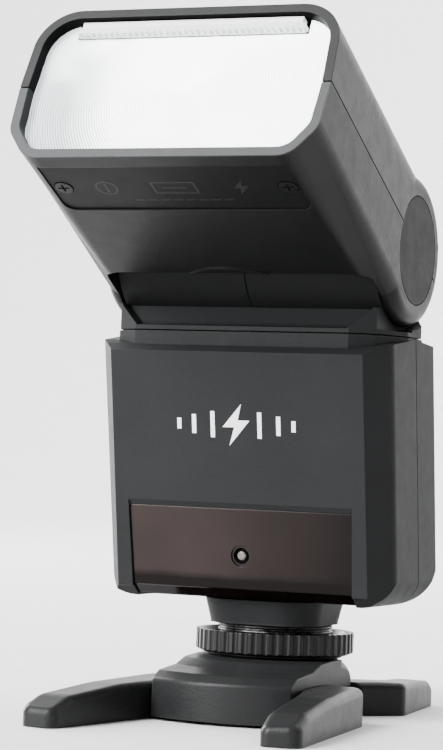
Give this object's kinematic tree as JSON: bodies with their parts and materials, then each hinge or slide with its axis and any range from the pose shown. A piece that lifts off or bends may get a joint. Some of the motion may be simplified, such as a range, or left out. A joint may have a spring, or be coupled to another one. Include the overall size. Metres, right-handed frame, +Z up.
{
  "type": "speedlight flash",
  "caption": "Compact camera speedlight with tilting, swivelling head on a lock-ring hot-shoe foot, standing on a folding table stand.",
  "frame": {"origin": "centre of the tripod socket's mouth, on the surface the stand rests on", "axes": "+Z up; the flash's front (AF window and lens) faces -Y; +X is the flash's left side as it faces"},
  "size_m": [0.0632, 0.1131, 0.1365],
  "materials": {
    "charcoal_shell": "fine moulded texture",
    "stand_plastic": "grained",
    "ring_plastic": "satin",
    "dark_red_window": "gloss, tinted",
    "clear_plastic": "clear",
    "fresnel_white": "clear, ribbed, white behind",
    "white_card": "satin",
    "label_film": "satin",
    "display_glass": "gloss",
    "lcd": "satin",
    "button_plastic": "satin",
    "dial_plastic": "satin",
    "steel": "machined",
    "foot_metal": "black coated",
    "brass": "machined",
    "reflector_metal": "polished",
    "tube_glass": "clear",
    "black_rubber": "matte",
    "inner_plastic": "plain",
    "board_green": "solder mask",
    "cell_wrap": "printed sleeve",
    "capacitor_sleeve": "sleeve",
    "ferrite": "wound core"
  },
  "bodies": {
    "stand": {"stand_cap": "stand_plastic", "tripod_insert": "brass"},
    "bar_lower": {"stand_bar_lower": "stand_plastic"},
    "bar_upper": {"stand_bar_upper": "stand_plastic"},
    "flash": {"shoe_foot": "foot_metal", "contact_pins": "brass", "foot_block": "charcoal_shell", "body_screws": "steel", "front_shell": "charcoal_shell", "rear_shell": "charcoal_shell", "af_window": "dark_red_window", "slave_sensor": "clear_plastic", "af_lamps": "clear_plastic", "battery_cells": "cell_wrap", "battery_box": "inner_plastic", "battery_contacts": "steel", "main_capacitor": "capacitor_sleeve", "inverter_transformer": "ferrite", "main_board": "board_green", "display_window": "display_glass", "display_module": "lcd", "usb_socket": "steel", "swivel_collar": "charcoal_shell"},
    "foot_plate": {"pressure_plate": "foot_metal"},
    "ring": {"lock_ring": "ring_plastic"},
    "pin": {"locking_pin": "steel"},
    "key_1": {"function_button_1": "button_plastic"},
    "key_2": {"function_button_2": "button_plastic"},
    "key_3": {"function_button_3": "button_plastic"},
    "key_4": {"function_button_4": "button_plastic"},
    "dial": {"control_dial": "dial_plastic"},
    "set_key": {"set_button": "button_plastic"},
    "test_key": {"test_button": "button_plastic"},
    "switch_knob": {"power_switch": "button_plastic"},
    "door": {"battery_door": "charcoal_shell"},
    "neck": {"swivel_base": "charcoal_shell", "neck_half_right": "charcoal_shell", "neck_half_left": "charcoal_shell", "neck_screws": "steel", "swivel_sleeve": "steel", "swivel_nut": "steel", "tilt_springs": "steel"},
    "head": {"head_upper_shell": "charcoal_shell", "head_lower_shell": "charcoal_shell", "rating_plate": "label_film", "head_screws": "steel", "fresnel_lens": "fresnel_white", "panel_tray": "inner_plastic", "guide_rods": "steel", "rod_holder": "inner_plastic", "zoom_motor": "steel", "tilt_axles": "inner_plastic", "hinge_covers": "charcoal_shell"},
    "panel": {"wide_panel": "clear_plastic"},
    "card": {"catch_card": "white_card"},
    "carriage": {"zoom_carriage": "inner_plastic", "reflector": "reflector_metal", "flash_tube": "tube_glass", "tube_caps": "black_rubber"},
    "screw": {"lead_screw": "steel"}
  },
  "joints": [
    {"name": "fold_bar_lower", "type": "hinge", "parent": "stand", "child": "bar_lower", "pos_m": [0, 0, 0.002], "axis": [0, 0, -1], "range_deg": [0, 20]},
    {"name": "fold_bar_upper", "type": "hinge", "parent": "stand", "child": "bar_upper", "pos_m": [0, 0, 0.005], "axis": [0, 0, 1], "range_deg": [0, 20]},
    {"name": "foot_slide", "type": "slide", "parent": "stand", "child": "flash", "axis": [0, 1, 0], "range_m": [0, 0.02]},
    {"name": "ring_turn", "type": "hinge", "parent": "foot_plate", "child": "ring", "pos_m": [0, 0, 0.0153], "axis": [0, 0, 1], "range_deg": [0, 452]},
    {"name": "plate_lift", "type": "slide", "parent": "flash", "child": "foot_plate", "axis": [0, 0, 1], "range_m": [0, 0.00125]},
    {"name": "pin_lift", "type": "slide", "parent": "flash", "child": "pin", "axis": [0, 0, 1], "range_m": [0, 0.00127]},
    {"name": "head_swivel", "type": "hinge", "parent": "flash", "child": "neck", "pos_m": [0, -0.011, 0.0776], "axis": [0, 0, 1], "range_deg": [-180, 90]},
    {"name": "head_tilt", "type": "hinge", "parent": "neck", "child": "head", "pos_m": [0, -0.0096, 0.0944], "axis": [-1, 0, 0], "range_deg": [-27, 63]},
    {"name": "wide_panel_slide", "type": "slide", "parent": "head", "child": "panel", "axis": [0, -0.891, 0.454], "range_m": [0, 0.028]},
    {"name": "catch_card_slide", "type": "slide", "parent": "head", "child": "card", "axis": [0, -0.891, 0.454], "range_m": [0, 0.028]},
    {"name": "zoom_screw_turn", "type": "hinge", "parent": "head", "child": "screw", "pos_m": [0.0268, -0.03924, 0.10232], "axis": [0, -0.891, 0.454], "range_deg": [-362, 1082]},
    {"name": "zoom_slide", "type": "slide", "parent": "head", "child": "carriage", "axis": [0, -0.891, 0.454], "range_m": [-0.003, 0.009]},
    {"name": "dial_turn", "type": "hinge", "parent": "flash", "child": "dial", "pos_m": [0, 0.01028, 0.0399], "axis": [0, 0.9865, 0.1637], "continuous": true},
    {"name": "power_slide", "type": "slide", "parent": "flash", "child": "switch_knob", "axis": [0, -0.1637, 0.9865], "range_m": [0, 0.0049]},
    {"name": "door_hinge", "type": "hinge", "parent": "flash", "child": "door", "pos_m": [-0.02995, -0.00013, 0.04324], "axis": [0, 0.1637, -0.9865], "range_deg": [0, 88]},
    {"name": "key_1_press", "type": "slide", "parent": "flash", "child": "key_1", "axis": [0, -0.9865, -0.1637], "range_m": [0, 0.0007], "stiffness_N_per_m": 300, "springref_m": -0.0002},
    {"name": "key_2_press", "type": "slide", "parent": "flash", "child": "key_2", "axis": [0, -0.9865, -0.1637], "range_m": [0, 0.0007], "stiffness_N_per_m": 300, "springref_m": -0.0002},
    {"name": "key_3_press", "type": "slide", "parent": "flash", "child": "key_3", "axis": [0, -0.9865, -0.1637], "range_m": [0, 0.0007], "stiffness_N_per_m": 300, "springref_m": -0.0002},
    {"name": "key_4_press", "type": "slide", "parent": "flash", "child": "key_4", "axis": [0, -0.9865, -0.1637], "range_m": [0, 0.0007], "stiffness_N_per_m": 300, "springref_m": -0.0002},
    {"name": "set_press", "type": "slide", "parent": "flash", "child": "set_key", "axis": [0, -0.9865, -0.1637], "range_m": [0, 0.0007], "stiffness_N_per_m": 300, "springref_m": -0.0002},
    {"name": "test_press", "type": "slide", "parent": "flash", "child": "test_key", "axis": [0, -0.9865, -0.1637], "range_m": [0, 0.0007], "stiffness_N_per_m": 300, "springref_m": -0.0002}
  ],
  "couplings": [
    {"joint": "ring_turn", "follows": "plate_lift", "rad_per_m": 6283.2},
    {"joint": "pin_lift", "follows": "plate_lift", "ratio": 1},
    {"joint": "zoom_screw_turn", "follows": "zoom_slide", "rad_per_m": 2094.4}
  ]
}
